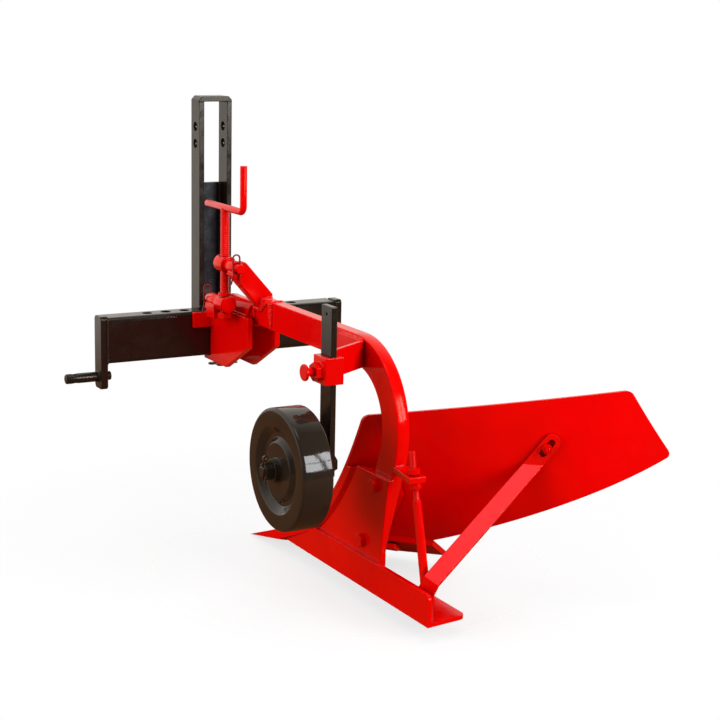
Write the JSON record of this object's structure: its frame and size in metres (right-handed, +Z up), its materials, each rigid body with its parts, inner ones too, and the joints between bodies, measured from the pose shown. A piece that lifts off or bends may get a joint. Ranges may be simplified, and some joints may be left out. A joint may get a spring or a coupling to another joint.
{
  "type": "single furrow plough",
  "caption": "Red single furrow mouldboard plough for a compact tractor's three-point hitch, with black headstock and mast, depth wheel and screw crank.",
  "frame": {"origin": "on the underside of the landside's sole, below the beam's middle plane and near the middle of the sole", "axes": "+X to the tractor's right along the link pins, +Y forward to the tractor, +Z up"},
  "size_m": [0.8406, 1.1228, 0.936],
  "materials": {
    "red_paint": "gloss",
    "black_paint": "gloss",
    "bare_steel": "zinc plated"
  },
  "bodies": {
    "headstock": {"crossbar": "black_paint", "end_plates": "black_paint", "link_pins": "black_paint", "mast_left": "black_paint", "mast_right": "black_paint", "mast_cap": "black_paint", "mast_web": "black_paint", "cheek_left": "red_paint", "cheek_right": "red_paint", "lower_jaw": "red_paint", "upper_jaw": "red_paint", "guide_bar": "red_paint", "lock_pin": "bare_steel", "lock_clip": "bare_steel", "pivot_tube": "red_paint", "outrigger": "red_paint", "lower_sleeve": "red_paint"},
    "lower_trunnion": {"lower_trunnion": "red_paint", "lower_clip": "bare_steel"},
    "crank": {"crank_screw": "red_paint", "crank_handle": "red_paint", "screw_collar": "red_paint", "screw_nut": "red_paint"},
    "beam": {"pivot_shaft": "red_paint", "shaft_nut": "red_paint", "head_block": "red_paint", "beam": "red_paint", "tilt_arm": "red_paint", "upper_sleeve": "red_paint", "wheel_arm": "red_paint", "clamp_socket": "red_paint", "clamp_nut": "red_paint", "frog": "red_paint", "frog_bolts": "red_paint", "frog_nuts": "red_paint", "shin_plate": "red_paint", "mouldboard": "red_paint", "share": "red_paint", "share_bracket": "red_paint", "landside": "red_paint", "landside_bolts": "red_paint", "plough_bolts": "red_paint", "plough_nuts": "red_paint", "stay_rod": "red_paint", "stay_lug": "red_paint", "stay_nuts": "red_paint", "heel_block": "red_paint", "brace": "red_paint"},
    "upper_trunnion": {"upper_trunnion": "red_paint", "upper_clip": "bare_steel"},
    "clamp_screw": {"clamp_screw": "red_paint"},
    "standard": {"standard": "black_paint", "axle": "black_paint", "axle_nut": "black_paint", "axle_washer": "black_paint", "castle_nut": "black_paint", "split_pin": "bare_steel"},
    "wheel": {"wheel": "black_paint", "hub": "black_paint"}
  },
  "joints": [
    {"name": "beam_roll", "type": "hinge", "parent": "headstock", "child": "beam", "pos_m": [0, 0.554, 0.446], "axis": [0, 1, 0], "range_deg": [-5, 5]},
    {"name": "lower_tilt", "type": "hinge", "parent": "headstock", "child": "lower_trunnion", "pos_m": [-0.068, 0.517, 0.47], "axis": [0, 1, 0], "range_deg": [-6.5, 6.5]},
    {"name": "crank_turn", "type": "hinge", "parent": "lower_trunnion", "child": "crank", "pos_m": [-0.068, 0.517, 0.47], "axis": [0, 0, 1], "range_deg": [-540, 540]},
    {"name": "upper_tilt", "type": "hinge", "parent": "beam", "child": "upper_trunnion", "pos_m": [-0.068, 0.517, 0.558], "axis": [0, 1, 0], "range_deg": [-1.4, 1.4]},
    {"name": "clamp_turn", "type": "hinge", "parent": "beam", "child": "clamp_screw", "pos_m": [-0.15, -0.0685, 0.444], "axis": [1, 0, 0], "range_deg": [-720, 0]},
    {"name": "wheel_height", "type": "slide", "parent": "beam", "child": "standard", "axis": [0, 0, 1], "range_m": [-0.09, 0.04]},
    {"name": "wheel_spin", "type": "hinge", "parent": "standard", "child": "wheel", "pos_m": [-0.199, -0.0685, 0.263], "axis": [1, 0, 0], "continuous": true}
  ],
  "couplings": [
    {"joint": "lower_tilt", "follows": "beam_roll", "ratio": 1.27},
    {"joint": "upper_tilt", "follows": "beam_roll", "ratio": 0.27},
    {"joint": "crank_turn", "follows": "beam_roll", "ratio": -106.83}
  ]
}
